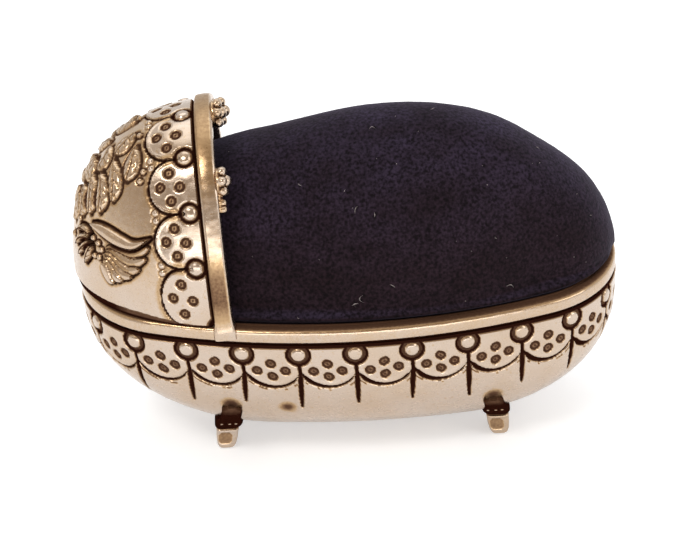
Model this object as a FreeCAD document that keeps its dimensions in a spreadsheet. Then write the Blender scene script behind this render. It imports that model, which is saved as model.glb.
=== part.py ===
"""Silver novelty pincushion in the form of a hooded cradle, in millimetres.

+X runs from the hood to the open end, +Z is up, and the feet stand on z = 0.
The origin is on the floor under the middle of the object.
"""
import FreeCAD, Part
import math
import os

import Sketcher

doc = FreeCAD.newDocument("cradle_pincushion")

# Driving dimensions. Lengths are millimetres and angles are degrees.
DIMENSIONS = {
    # rim of the frame: an oval of two end arcs and two side arcs
    "RimShift": 0.23,         # from the middle of the whole object to the middle of the rim
    "HalfLength": 26.0,
    "HalfWidth": 13.25,
    "EndArc": 10.6,
    "RimBottom": 15.0,
    "RimTop": 16.3,
    "RimWidth": 1.6,
    "RimBevel": 0.3,
    "NeckInset": 0.4,         # the shadow line between rim and tub
    "NeckHeight": 0.35,
    "SkirtInset": 1.05,       # the part of the frame that drops inside the tub
    "LedgeTop": 13.0,
    "LedgeBottom": 12.4,
    "LedgeWidth": 1.0,
    # tub
    "TubWall": 0.7,
    "TubBottom": 1.35,
    "TubEndShare": 0.8,       # end arc against half width, at the tub's top edge
    "TubEndGrowth": 0.18,     # how much that share gains at the bottom
    "OpenEndCurve": 2.98,     # how full the tub is towards its open end
    "HoodEndCurve": 2.38,     # towards its hood end
    "WidthCurve": 2.82,       # and across its width
    # arch and hood, in a frame that leans back from the rim
    "ArchFront": -11.25,
    "ArchWidth": 1.7,
    "ArchHeight": 17.7,
    "ArchHalfWidth": 12.1,
    "ArchCrown": 9.2,
    "ArchThickness": 1.3,
    "ArchRoot": 0.9,          # how deep the arch stands in the rim
    "ArchLean": 3.4,
    "HoodStepDown": 0.35,
    "HoodStepIn": 0.35,
    "HoodCrown": 8.9,
    "HoodLength": 15.25,
    "HoodWall": 0.6,
    "HoodHeightCurve": 2.4,
    "HoodPlanCurve": 1.9,
    # feet
    "FootHoodReach": -12.6,
    "FootOpenReach": 13.75,
    "FootSpread": 6.9,
    "FootWidth": 2.2,
    "FootRound": 0.3,
    # rosettes on the front of the arch
    "RosetteInset": 1.0,      # from the arch's outer edge to the rosette's centre
    "RosetteTurn": 38,        # from the top of the arch to a side rosette
    "RosettePlate": 1.3,
    "PlateDepth": 0.35,
    "GranuleRing": 1.05,
    "Granule": 0.46,
    "MiddleGranule": 0.6,
    "TailReach": 2.05,        # from a side rosette's centre to the granules trailing below it
    "TailStep": 0.6,
    "TailGranule": 0.34,
    # pad
    "PadGap": 0.05,
    "VelvetDepth": 0.5,
    "PadPeak": 4.5,           # where the pad is highest, along the rim
    "PadHeight": 16.1,
    "PadFront": 21.7,
    "PadBack": 28.8,
    "PadHalfWidth": 11.4,
    "PadFrontCurve": 1.8,
    "PadBackCurve": 1.95,
    "PadWidthCurve": 1.75,
    "PadEndShare": 0.7,
    "HemWidth": 3.0,
    "BoardDepth": 1.2,
    "GlueDepth": 0.2,
    "GlueWidth": 0.7,
    "Thread": 0.35,
}

sheet = doc.addObject("Spreadsheet::Sheet", "Dims")
for row, (alias, number) in enumerate(DIMENSIONS.items(), start=1):
    sheet.set(f"A{row}", alias)
    sheet.set(f"B{row}", str(number))
    sheet.setAlias(f"B{row}", alias)
doc.recompute()

SUBPARTS = []


# ---------------------------------------------------------------- helpers

def value(expression):
    """Number that an expression in the sheet's names gives."""
    return float(sheet.evalExpression(expression))


def subpart(thing, label):
    """Name an object and list it as one of the pieces."""
    thing.Label = label
    SUBPARTS.append(thing)
    return thing


def new_body(name):
    return doc.addObject("PartDesign::Body", name)


def origin_plane(body, role):
    return next(item for item in body.Origin.OriginFeatures if item.Role == role)


def new_sketch(body, name, role="XY_Plane", lift="0"):
    """Sketch on a body's own origin plane, moved along that plane's normal."""
    sketch = body.newObject("Sketcher::SketchObject", name)
    sketch.AttachmentSupport = [(origin_plane(body, role), "")]
    sketch.MapMode = "FlatFace"
    sketch.setExpression("AttachmentOffset.Base.z", lift)
    return sketch


def add_oval(sketch, half_long, half_short, end_arc):
    """Closed oval of four tangent arcs, its long axis along the sketch's X."""
    side_arc = f"((({half_long}) - ({end_arc}))^2 + ({half_short})^2 - ({end_arc})^2)"
    side_arc += f" / (2 * (({half_short}) - ({end_arc})))"
    long, short = value(half_long), value(half_short)
    end, side = value(end_arc), value(side_arc)
    join = math.atan2(side - short, long - end)
    axis = FreeCAD.Vector(0, 0, 1)
    first = sketch.GeometryCount

    def arc(x, y, radius, start, stop):
        circle = Part.Circle(FreeCAD.Vector(x, y, 0), axis, radius)
        sketch.addGeometry(Part.ArcOfCircle(circle, start, stop), False)

    arc(long - end, 0, end, -join, join)
    arc(0, short - side, side, join, math.pi - join)
    arc(end - long, 0, end, math.pi - join, math.pi + join)
    arc(0, side - short, side, math.pi + join, 2 * math.pi - join)
    right, top, left, bottom = range(first, first + 4)
    for one, following in ((right, top), (top, left), (left, bottom), (bottom, right)):
        sketch.addConstraint(Sketcher.Constraint("Tangent", one, 2, following, 1))
    sketch.addConstraint(Sketcher.Constraint("PointOnObject", right, 3, -1))
    sketch.addConstraint(Sketcher.Constraint("Symmetric", right, 3, left, 3, -1, 1))
    sketch.addConstraint(Sketcher.Constraint("Equal", right, left))
    sketch.addConstraint(Sketcher.Constraint("Equal", top, bottom))
    reach = sketch.addConstraint(Sketcher.Constraint("DistanceX", -1, 1, right, 3, long - end))
    sketch.setExpression(f"Constraints[{reach}]", f"({half_long}) - ({end_arc})")
    small = sketch.addConstraint(Sketcher.Constraint("Radius", right, end))
    sketch.setExpression(f"Constraints[{small}]", end_arc)
    large = sketch.addConstraint(Sketcher.Constraint("Radius", top, side))
    sketch.setExpression(f"Constraints[{large}]", side_arc)
    return sketch


def rim_oval(body, name, inset, lift):
    """Oval parallel to the rim's outer edge, at a height."""
    sketch = new_sketch(body, name, lift=lift)
    return add_oval(sketch, f"Dims.HalfLength - {inset}", f"Dims.HalfWidth - {inset}",
                    f"Dims.EndArc - {inset}")


def pad_up(body, sketch, length):
    feature = body.newObject("PartDesign::Pad", f"{sketch.Name}_pad")
    feature.Profile = sketch
    feature.setExpression("Length", length)
    sketch.Visibility = False
    return feature


def pocket_up(body, sketch, length):
    """Cut along the sketch's own normal."""
    feature = body.newObject("PartDesign::Pocket", f"{sketch.Name}_pocket")
    feature.Profile = sketch
    feature.Reversed = True
    feature.setExpression("Length", length)
    return feature


def loft(body, sections, kind="Additive"):
    feature = body.newObject(f"PartDesign::{kind}Loft", f"{sections[0].Name}_loft")
    feature.Profile = sections[0]
    feature.Sections = sections[1:]
    return feature


def along_rim(thing):
    """Place a piece that was drawn about the rim's middle."""
    thing.setExpression("Placement.Base.x", "Dims.RimShift")
    return thing


def cut(name, base, tool):
    feature = doc.addObject("Part::Cut", name)
    feature.Base = base
    feature.Tool = tool
    return feature


def fuse(name, shapes):
    feature = doc.addObject("Part::MultiFuse", name)
    feature.Shapes = shapes
    return feature


def curve(fraction, power):
    """Share of the full reach that is left at a share of the full height."""
    return f"(1 - {fraction}^{power})^(1 / {power})"


# ---------------------------------------------------------------- tub

TUB_LEVELS = (0, 0.3, 0.55, 0.75, 0.88, 0.96, 0.995)


def tub_sections(body, name, wall):
    """Ovals from the tub's top edge down to its flat bottom; the open end is the fuller one."""
    sections = []
    top = "(Dims.RimBottom - Dims.NeckHeight)"
    for index, level in enumerate(TUB_LEVELS):
        front = f"(Dims.HalfLength - {wall}) * {curve(level, 'Dims.OpenEndCurve')}"
        back = f"(Dims.HalfLength - {wall}) * {curve(level, 'Dims.HoodEndCurve')}"
        long = f"(({front}) + ({back})) / 2"
        short = f"(Dims.HalfWidth - {wall}) * {curve(level, 'Dims.WidthCurve')}"
        end = f"(Dims.TubEndShare + Dims.TubEndGrowth * {level}^2) * ({short})"
        lift = f"{top} - {level} * ({top} - Dims.TubBottom - {wall})"
        sketch = new_sketch(body, f"{name}_{index}", lift=lift)
        sketch.setExpression("AttachmentOffset.Base.x", f"(({front}) - ({back})) / 2")
        sections.append(add_oval(sketch, long, short, end))
    return sections


def make_tub():
    body = new_body("tub")
    loft(body, tub_sections(body, "tub_outside", "0"))
    loft(body, tub_sections(body, "tub_inside", "Dims.TubWall"), "Subtractive")
    return subpart(along_rim(body), "tub_shell")


def make_tub_envelope():
    """Solid of the tub's outside, which trims the tops of the feet."""
    body = new_body("tub_envelope")
    loft(body, tub_sections(body, "envelope", "0"))
    return along_rim(body)


# ---------------------------------------------------------------- frame

def lean_back(thing, forward="0", up="0"):
    """Place a piece that was drawn upright at the foot of the arch's front face."""
    turn = FreeCAD.Rotation(FreeCAD.Vector(0, -1, 0), value("Dims.ArchLean"))
    thing.Placement = FreeCAD.Placement(FreeCAD.Vector(), turn)
    shift = f"({forward}) * cos(Dims.ArchLean * 1 deg) - ({up}) * sin(Dims.ArchLean * 1 deg)"
    rise = f"({forward}) * sin(Dims.ArchLean * 1 deg) + ({up}) * cos(Dims.ArchLean * 1 deg)"
    thing.setExpression("Placement.Base.x", f"Dims.RimShift + Dims.ArchFront + {shift}")
    thing.setExpression("Placement.Base.z", f"Dims.RimTop + {rise}")
    return thing


def upright_oval(body, name, back, half_high, half_wide, crown):
    """Oval across the cradle with its long axis upright, a distance behind the arch's front."""
    sketch = new_sketch(body, name, "YZ_Plane", lift=f"-({back})")
    sketch.AttachmentOffset = FreeCAD.Placement(
        FreeCAD.Vector(0, 0, -value(back)),
        FreeCAD.Rotation(FreeCAD.Vector(0, 0, 1), 90))
    return add_oval(sketch, half_high, half_wide, crown)


def trim_below(body, name, level):
    """Take away everything of an upright body below a level."""
    sketch = new_sketch(body, name, "XZ_Plane", lift="0 - 2 * Dims.HalfWidth")
    wide = value("2 * Dims.HalfLength")
    floor = -wide
    top = value(level)
    corners = [(-wide, floor), (wide, floor), (wide, top), (-wide, top)]
    for one, following in zip(corners, corners[1:] + corners[:1]):
        start = FreeCAD.Vector(*one, 0)
        stop = FreeCAD.Vector(*following, 0)
        sketch.addGeometry(Part.LineSegment(start, stop), False)
    for index in range(4):
        sketch.addConstraint(Sketcher.Constraint("Coincident", index, 2, (index + 1) % 4, 1))
    for index, kind in enumerate(("Horizontal", "Vertical", "Horizontal", "Vertical")):
        sketch.addConstraint(Sketcher.Constraint(kind, index))
    span = sketch.addConstraint(Sketcher.Constraint("DistanceX", 0, 1, 0, 2, 2 * wide))
    sketch.setExpression(f"Constraints[{span}]", "4 * Dims.HalfLength")
    left = sketch.addConstraint(Sketcher.Constraint("DistanceX", 0, 1, -1, 1, wide))
    sketch.setExpression(f"Constraints[{left}]", "2 * Dims.HalfLength")
    low = sketch.addConstraint(Sketcher.Constraint("DistanceY", 0, 1, -1, 1, -floor))
    sketch.setExpression(f"Constraints[{low}]", "2 * Dims.HalfLength")
    tall = sketch.addConstraint(Sketcher.Constraint("DistanceY", 0, 2, 1, 2, top - floor))
    sketch.setExpression(f"Constraints[{tall}]", f"2 * Dims.HalfLength + ({level})")
    return pocket_up(body, sketch, "4 * Dims.HalfWidth")


def make_frame():
    """Rim, inner skirt, ledge and arch: one casting."""
    ring = new_body("rim_ring")
    pad_up(ring, rim_oval(ring, "ledge", "Dims.SkirtInset", "Dims.LedgeBottom"),
           "Dims.RimBottom - Dims.LedgeBottom")
    pad_up(ring, rim_oval(ring, "neck", "Dims.NeckInset", "Dims.RimBottom - Dims.NeckHeight"),
           "Dims.NeckHeight + 0.1")
    rim = pad_up(ring, rim_oval(ring, "rim", "0", "Dims.RimBottom"),
                 "Dims.RimTop - Dims.RimBottom")
    doc.recompute()
    top_edges = [f"Edge{number}" for number, edge in enumerate(rim.Shape.Edges, start=1)
                 if edge.BoundBox.ZMin > value("Dims.RimTop") - 0.01]
    bevel = ring.newObject("PartDesign::Chamfer", "rim_bevel")
    bevel.Base = (rim, top_edges)
    bevel.setExpression("Size", "Dims.RimBevel")
    pocket_up(ring, rim_oval(ring, "mouth", "Dims.RimWidth", "Dims.LedgeTop"),
              "Dims.RimTop - Dims.LedgeTop + 1")
    pocket_up(ring, rim_oval(ring, "ledge_hole", "(Dims.RimWidth + Dims.LedgeWidth)",
                             "Dims.LedgeBottom - 1"), "Dims.LedgeTop - Dims.LedgeBottom + 2")
    along_rim(ring)

    arch = new_body("arch")
    pad_up(arch, upright_oval(arch, "arch_outside", "Dims.ArchWidth", "Dims.ArchHeight",
                              "Dims.ArchHalfWidth", "Dims.ArchCrown"), "Dims.ArchWidth")
    pocket_up(arch, upright_oval(arch, "arch_inside", "Dims.ArchWidth + 1",
                                 "Dims.ArchHeight - Dims.ArchThickness",
                                 "Dims.ArchHalfWidth - Dims.ArchThickness",
                                 "Dims.ArchCrown - Dims.ArchThickness"), "Dims.ArchWidth + 2")
    trim_below(arch, "arch_root", "0 - Dims.ArchRoot")
    lean_back(arch)
    return subpart(fuse("frame", [ring, arch]), "cradle_frame")


# ---------------------------------------------------------------- hood

HOOD_STATIONS = (0, 0.2, 0.4, 0.6, 0.78, 0.9, 0.97, 0.995)


def hood_sections(body, name, wall):
    """Upright ovals that shrink from the arch to the back of the hood."""
    sections = []
    for index, station in enumerate(HOOD_STATIONS):
        back = f"Dims.ArchWidth + {station} * (Dims.HoodLength - Dims.ArchWidth - {wall})"
        share = f"(({back}) / (Dims.HoodLength - {wall}))"
        high = "(Dims.ArchHeight - Dims.HoodStepDown - %s) * %s" % (
            wall, curve(share, "Dims.HoodHeightCurve"))
        wide = "(Dims.ArchHalfWidth - Dims.HoodStepIn - %s) * %s" % (
            wall, curve(share, "Dims.HoodPlanCurve"))
        crown = f"({wide}) * Dims.HoodCrown / (Dims.ArchHalfWidth - Dims.HoodStepIn)"
        sections.append(upright_oval(body, f"{name}_{index}", back, high, wide, crown))
    return sections


def make_hood():
    """Dome behind the arch, cut off level where it stands on the rim."""
    body = new_body("hood")
    loft(body, hood_sections(body, "hood_outside", "0"))
    loft(body, hood_sections(body, "hood_inside", "Dims.HoodWall"), "Subtractive")
    lean_back(body)
    level = doc.addObject("Part::Box", "below_hood")
    level.setExpression("Length", "4 * Dims.HalfLength")
    level.setExpression("Width", "4 * Dims.HalfWidth")
    level.setExpression("Height", "4 * Dims.RimTop")
    level.setExpression("Placement.Base.x", "0 - 2 * Dims.HalfLength")
    level.setExpression("Placement.Base.y", "0 - 2 * Dims.HalfWidth")
    level.setExpression("Placement.Base.z", "0 - 3 * Dims.RimTop")
    return subpart(cut("hood_on_rim", body, level), "hood_shell")


# ---------------------------------------------------------------- feet

# Side of a foot, outwards and upwards from its standing point. The strap runs up the tub.
FOOT_SIDE = [(-0.95, 0.0), (1.1, 0.0), (1.25, 1.1), (1.0, 2.1), (0.75, 2.55), (1.75, 3.3),
             (2.5, 4.1), (4.0, 5.2), (5.0, 6.8), (5.2, 7.7), (3.6, 7.7), (-1.5, 5.0),
             (-1.3, 3.9), (-0.55, 2.55), (-1.0, 1.2)]


def foot_blank(name):
    """Cast foot drawn side on: a strap and knee under the tub, an ankle and a toe."""
    body = new_body(name)
    sketch = new_sketch(body, f"{name}_side", "YZ_Plane", lift="0 - Dims.FootWidth / 2")
    for start, stop in zip(FOOT_SIDE, FOOT_SIDE[1:] + FOOT_SIDE[:1]):
        line = Part.LineSegment(FreeCAD.Vector(*start, 0), FreeCAD.Vector(*stop, 0))
        sketch.addGeometry(line, False)
    count = len(FOOT_SIDE)
    for index in range(count):
        sketch.addConstraint(Sketcher.Constraint("Coincident", index, 2, (index + 1) % count, 1))
        sketch.addConstraint(Sketcher.Constraint("Block", index))
    side = pad_up(body, sketch, "Dims.FootWidth")
    doc.recompute()
    corners = [f"Edge{number}" for number, edge in enumerate(side.Shape.Edges, start=1)
               if edge.BoundBox.XLength < 0.01 and edge.BoundBox.ZMax > 0.01
               and edge.BoundBox.YMax > 0]
    rounding = body.newObject("PartDesign::Fillet", f"{name}_round")
    rounding.Base = (side, corners)
    rounding.setExpression("Radius", "Dims.FootRound")
    return body


def make_foot(label, reach, hand, envelope):
    """One foot, facing left (hand 1) or right (hand -1) and trimmed to the tub."""
    body = foot_blank(label + "_blank")
    body.Placement.Rotation = FreeCAD.Rotation(FreeCAD.Vector(0, 0, 1), 90 - 90 * hand)
    body.setExpression("Placement.Base.x", f"Dims.RimShift + {reach}")
    body.setExpression("Placement.Base.y", f"{hand} * Dims.FootSpread")
    return subpart(cut(label + "_trimmed", body, envelope), label)


# ---------------------------------------------------------------- rosettes

def make_rosette(label, side):
    """Cluster of granules on a thin plate, at the top (side 0) or on one side of the arch."""
    turn = math.radians(value("Dims.RosetteTurn")) * side
    half_wide = value("Dims.ArchHalfWidth - Dims.RosetteInset")
    half_high = value("Dims.ArchHeight - Dims.RosetteInset")
    shapes = []

    def ball(radius, across, up, sunk):
        sphere = doc.addObject("Part::Sphere", f"{label}_granule")
        sphere.setExpression("Radius", radius)
        sphere.Placement.Base = FreeCAD.Vector(value(f"{radius} + {sunk}"), across, up)
        shapes.append(sphere)

    def plate(radius, across, up):
        disc = doc.addObject("Part::Cylinder", f"{label}_plate")
        disc.setExpression("Radius", radius)
        disc.setExpression("Height", "Dims.PlateDepth")
        disc.Placement = FreeCAD.Placement(
            FreeCAD.Vector(0, across, up), FreeCAD.Rotation(FreeCAD.Vector(0, 1, 0), 90))
        shapes.append(disc)

    plate("Dims.RosettePlate", 0, 0)
    ball("Dims.MiddleGranule", 0, 0, "0.15")
    ring = value("Dims.GranuleRing")
    for step in range(6):
        spoke = math.radians(60 * step)
        ball("Dims.Granule", ring * math.sin(spoke), ring * math.cos(spoke), "0.05")
    if side:
        tangent = math.atan2(side * half_wide * math.cos(turn),
                             -half_high * abs(math.sin(turn)))
        for step in (-1, 0, 1):
            along = value(f"Dims.TailReach + {step} * Dims.TailStep")
            across, up = along * math.sin(tangent), along * math.cos(tangent)
            plate("Dims.TailGranule", across, up)
            if step >= 0:
                ball("Dims.TailGranule", across, up, "0.05")
    rosette = fuse(label + "_fused", shapes)
    lean_back(rosette, up=str(half_high * math.cos(turn)))
    rosette.Placement.Base.y = half_wide * math.sin(turn)
    return subpart(rosette, label)


# ---------------------------------------------------------------- pad

PAD_LEVELS = (0.07, 0.2, 0.38, 0.56, 0.72, 0.85, 0.94, 0.985)


def dome_sections(body, name, skin):
    """Ovals of the pad's dome, from the rim up; the dome leans towards the open end."""
    inset = f"(Dims.RimWidth + Dims.PadGap + {skin})"
    sections = [rim_oval(body, f"{name}_foot", inset, "Dims.RimTop")]
    for index, level in enumerate(PAD_LEVELS):
        front = f"(Dims.PadFront - {skin}) * {curve(level, 'Dims.PadFrontCurve')}"
        back = f"(Dims.PadBack - {skin}) * {curve(level, 'Dims.PadBackCurve')}"
        short = f"(Dims.PadHalfWidth - {skin}) * {curve(level, 'Dims.PadWidthCurve')}"
        long = f"(({front}) + ({back})) / 2"
        lift = f"Dims.RimTop + {level} * (Dims.PadHeight - {skin})"
        sketch = new_sketch(body, f"{name}_{index}", lift=lift)
        sketch.setExpression("AttachmentOffset.Base.x",
                             f"Dims.PadPeak + (({front}) - ({back})) / 2")
        sections.append(add_oval(sketch, long, short, f"Dims.PadEndShare * ({short})"))
    return sections


def stack_height(layer):
    """Height of the underside of a layer of the pad, as an expression."""
    heights = {
        "glue": "Dims.LedgeTop",
        "hem": "Dims.LedgeTop + Dims.GlueDepth",
        "board": "Dims.LedgeTop + Dims.GlueDepth + Dims.VelvetDepth",
        "filling": "Dims.LedgeTop + Dims.GlueDepth + Dims.VelvetDepth + Dims.BoardDepth",
    }
    return heights[layer]


COVER_INSET = "(Dims.RimWidth + Dims.PadGap)"
BOARD_INSET = "(Dims.RimWidth + Dims.PadGap + Dims.VelvetDepth)"
HEM_INSET = "(Dims.RimWidth + Dims.PadGap + Dims.VelvetDepth + Dims.HemWidth)"


def make_velvet():
    """Velvet drawn over the filling and round the board's edge, with a hem beneath."""
    body = new_body("velvet")
    pad_up(body, rim_oval(body, "velvet_side", COVER_INSET, stack_height("hem")),
           f"Dims.RimTop - ({stack_height('hem')})")
    loft(body, dome_sections(body, "velvet_dome", "0"))
    pocket_up(body, rim_oval(body, "velvet_hollow", BOARD_INSET, stack_height("board")),
              f"Dims.RimTop - ({stack_height('board')})")
    loft(body, dome_sections(body, "velvet_inside", "Dims.VelvetDepth"), "Subtractive")
    pocket_up(body, rim_oval(body, "hem_hole", HEM_INSET, f"{stack_height('hem')} - 1"),
              "Dims.VelvetDepth + 1.1")
    return subpart(along_rim(body), "velvet_cover")


def make_stuffing():
    body = new_body("filling")
    pad_up(body, rim_oval(body, "filling_foot", BOARD_INSET, stack_height("filling")),
           f"Dims.RimTop - ({stack_height('filling')})")
    loft(body, dome_sections(body, "filling_dome", "Dims.VelvetDepth"))
    return subpart(along_rim(body), "stuffing")


def make_board():
    body = new_body("board")
    pad_up(body, rim_oval(body, "board_edge", BOARD_INSET, stack_height("board")),
           "Dims.BoardDepth")
    return subpart(along_rim(body), "base_board")


def make_thread():
    """Loop of thread along the hem's inner edge, against the board."""
    body = new_body("thread")
    inset = f"({HEM_INSET} + Dims.Thread / 2)"
    height = f"{stack_height('board')} - Dims.Thread / 2"
    path = rim_oval(body, "thread_path", inset, height)
    section = new_sketch(body, "thread_section", "XZ_Plane")
    centre = FreeCAD.Vector(value(f"Dims.HalfLength - {inset}"), value(height), 0)
    circle = Part.Circle(centre, FreeCAD.Vector(0, 0, 1), value("Dims.Thread / 2"))
    section.addGeometry(circle, False)
    radius = section.addConstraint(Sketcher.Constraint("Radius", 0, circle.Radius))
    section.setExpression(f"Constraints[{radius}]", "Dims.Thread / 2")
    across = section.addConstraint(Sketcher.Constraint("DistanceX", -1, 1, 0, 3, centre.x))
    section.setExpression(f"Constraints[{across}]", f"Dims.HalfLength - {inset}")
    up = section.addConstraint(Sketcher.Constraint("DistanceY", -1, 1, 0, 3, centre.y))
    section.setExpression(f"Constraints[{up}]", height)
    pipe = body.newObject("PartDesign::AdditivePipe", "thread_pipe")
    pipe.Profile = section
    pipe.Spine = path
    return subpart(along_rim(body), "gathering_thread")


def make_glue():
    body = new_body("glue")
    outer = "(Dims.RimWidth + 2 * Dims.PadGap)"
    pad_up(body, rim_oval(body, "glue_outside", outer, stack_height("glue")),
           "Dims.GlueDepth")
    pocket_up(body, rim_oval(body, "glue_inside", f"({outer} + Dims.GlueWidth)",
                             f"{stack_height('glue')} - 1"), "Dims.GlueDepth + 2")
    return subpart(along_rim(body), "adhesive_bead")


# ---------------------------------------------------------------- assembly

make_tub()
make_frame()
make_hood()
tub_envelope = make_tub_envelope()
for end, reach in (("hood", "Dims.FootHoodReach"), ("open", "Dims.FootOpenReach")):
    make_foot(f"foot_{end}_left", reach, 1, tub_envelope)
    make_foot(f"foot_{end}_right", reach, -1, tub_envelope)
make_rosette("rosette_top", 0)
make_rosette("rosette_left", 1)
make_rosette("rosette_right", -1)
make_velvet()
make_stuffing()
make_board()
make_thread()
make_glue()
doc.recompute()

# ---------------------------------------------------------------- checks and files

for item in doc.Objects:
    if {"Invalid", "Error"} & set(item.State):
        raise RuntimeError(f"{item.Name} did not recompute: {item.State}")

os.makedirs("parts", exist_ok=True)
for piece in SUBPARTS:
    shape = piece.Shape
    if shape.isNull() or not shape.isValid():
        raise RuntimeError(f"{piece.Label} has no valid shape")
    box = shape.BoundBox
    print(f"{piece.Label:18s} {len(shape.Solids)} solid(s) {shape.Volume:9.2f} mm3  "
          f"x {box.XMin:7.2f} {box.XMax:6.2f}  y {box.YMin:7.2f} {box.YMax:6.2f}  "
          f"z {box.ZMin:6.2f} {box.ZMax:6.2f}")
    shape.exportStep(f"parts/{piece.Label}.step")
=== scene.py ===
"""Looks of a silver cradle pincushion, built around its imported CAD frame.

Shapes are worked out in millimetres and written to the meshes in metres. +X runs from the
hood to the open end, +Z is up, left is +Y, and the feet stand on z = 0.
"""

import math

import bmesh
import bpy
import numpy as np
from mathutils import Matrix, Vector, noise


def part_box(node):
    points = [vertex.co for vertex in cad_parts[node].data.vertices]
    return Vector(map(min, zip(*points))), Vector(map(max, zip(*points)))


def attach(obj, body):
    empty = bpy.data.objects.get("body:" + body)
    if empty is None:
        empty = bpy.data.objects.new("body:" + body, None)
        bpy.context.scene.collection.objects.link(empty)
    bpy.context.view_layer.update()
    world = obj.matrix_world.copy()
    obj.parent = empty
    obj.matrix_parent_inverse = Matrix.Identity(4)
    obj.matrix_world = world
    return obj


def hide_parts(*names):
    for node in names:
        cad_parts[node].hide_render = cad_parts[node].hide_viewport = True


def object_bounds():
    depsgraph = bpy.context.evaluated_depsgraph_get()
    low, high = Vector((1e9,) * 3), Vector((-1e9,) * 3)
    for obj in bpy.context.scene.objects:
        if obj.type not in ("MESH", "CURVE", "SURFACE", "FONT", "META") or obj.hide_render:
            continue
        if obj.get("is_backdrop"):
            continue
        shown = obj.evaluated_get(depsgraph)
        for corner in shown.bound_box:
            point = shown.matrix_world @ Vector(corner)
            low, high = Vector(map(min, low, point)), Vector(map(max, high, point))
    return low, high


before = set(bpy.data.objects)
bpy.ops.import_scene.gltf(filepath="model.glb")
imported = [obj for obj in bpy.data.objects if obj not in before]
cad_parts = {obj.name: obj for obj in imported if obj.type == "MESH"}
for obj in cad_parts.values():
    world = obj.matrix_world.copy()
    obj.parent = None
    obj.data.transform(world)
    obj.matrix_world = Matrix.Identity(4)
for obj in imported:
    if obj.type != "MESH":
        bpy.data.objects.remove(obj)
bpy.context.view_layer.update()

MM = 0.001
scene = bpy.context.scene


# ---- sizes, from the frame

def box_mm(node):
    low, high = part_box(node)
    return low / MM, high / MM


tub_low, tub_high = box_mm("tub_shell")

RIM_MIDDLE = (tub_low.x + tub_high.x) / 2
HALF_LENGTH = (tub_high.x - tub_low.x) / 2
HALF_WIDTH = tub_high.y
TUB_TOP = tub_high.z
RIM_TOP = box_mm("hood_shell")[0].z
RIM_BOTTOM = TUB_TOP + 0.35
END_ARC = 10.6
RIM_WIDTH = 1.6

TUB_DEPTH = 13.3
TUB_WALL = 0.7
TUB_END_SHARE = 0.8
TUB_END_GROWTH = 0.18
OPEN_END_CURVE = 2.98
HOOD_END_CURVE = 2.38
WIDTH_CURVE = 2.82

LEAN = math.radians(3.4)
ARCH_FRONT = -11.25
ARCH_WIDTH = 1.7
ARCH_HEIGHT = 17.7
ARCH_HALF_WIDTH = 12.1
ARCH_CROWN = 9.2

HOOD_HEIGHT = ARCH_HEIGHT - 0.35
HOOD_HALF_WIDTH = ARCH_HALF_WIDTH - 0.35
HOOD_CROWN = 8.9
HOOD_LENGTH = 15.25
HOOD_WALL = 0.6
HOOD_HEIGHT_CURVE = 2.4
HOOD_PLAN_CURVE = 1.9

SCALLOPS = 24


# ---- ovals and grids

def oval_arcs(long, short, end):
    """Radius of an oval's side arcs, the angle its end arcs stop at and a quarter's length."""
    side = ((long - end) ** 2 + short ** 2 - end ** 2) / (2 * (short - end))
    join = math.atan2(side - short, long - end)
    return side, join, end * join + side * (math.pi / 2 - join)


def oval(long, short, end, turn):
    """Oval of four tangent arcs at shares of its length, from its long end, anticlockwise."""
    side, join, quarter = oval_arcs(long, short, end)
    end_length = end * join
    quadrant = np.floor(turn * 4).astype(int) % 4
    share = turn * 4 - np.floor(turn * 4)
    length = np.where(quadrant % 2 == 1, 1 - share, share) * quarter
    on_end = length < end_length
    angle = np.where(on_end, length / end, join + (length - end_length) / side)
    x = np.where(on_end, long - end + end * np.cos(angle), side * np.cos(angle))
    y = np.where(on_end, end * np.sin(angle), short - side + side * np.sin(angle))
    x = np.where((quadrant == 1) | (quadrant == 2), -x, x)
    y = np.where(quadrant >= 2, -y, y)
    return x, y


def fullness(share, power):
    """Share of the full reach that is left at a share of the full height."""
    return (1 - share ** power) ** (1 / power)


def dome(share):
    """One in the middle, falling to nothing at a share of one to either side."""
    return np.clip(1 - share ** 2, 0, 1)


def arching(high, wide, crown, across, base, fine):
    """Up and out along an upright oval that ends at a base, at shares of the way across."""
    up, _ = oval(high, wide, crown, fine)
    turn = (0.5 - across) * 2 * np.interp(base, -up, fine)
    up, out = oval(high, wide, crown, np.abs(turn))
    return up, np.where(turn < 0, -out, out)


def level_ring(middle, front, back, short, end, height, turn):
    """Level oval whose reaches from its middle, forwards and backwards, may differ."""
    x, y = oval((front + back) / 2, short, end, turn)
    middle = middle + (front - back) / 2 + RIM_MIDDLE
    return np.stack([x + middle, y, np.full_like(x, height)], -1)


def rim_ring(inset, height, turn):
    """Ring parallel to the rim's outer edge."""
    long = HALF_LENGTH - inset
    return level_ring(0, long, long, HALF_WIDTH - inset, END_ARC - inset, height, turn)


def leaning(back, across, up):
    """Point of the leaning frame that the arch and the hood are drawn in."""
    x = -back * math.cos(LEAN) - up * math.sin(LEAN) + ARCH_FRONT + RIM_MIDDLE
    z = -back * math.sin(LEAN) + up * math.cos(LEAN) + RIM_TOP
    return np.stack(np.broadcast_arrays(x, across, z), -1)


def grid_normals(points, closed):
    """Unit normals of a grid of points; the second index may run round a ring."""
    down = np.gradient(points, axis=0)
    if closed:
        along = np.roll(points, -1, 1) - np.roll(points, 1, 1)
    else:
        along = np.gradient(points, axis=1)
    normals = np.cross(along, down)
    return normals / np.maximum(np.linalg.norm(normals, axis=-1, keepdims=True), 1e-9)


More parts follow.
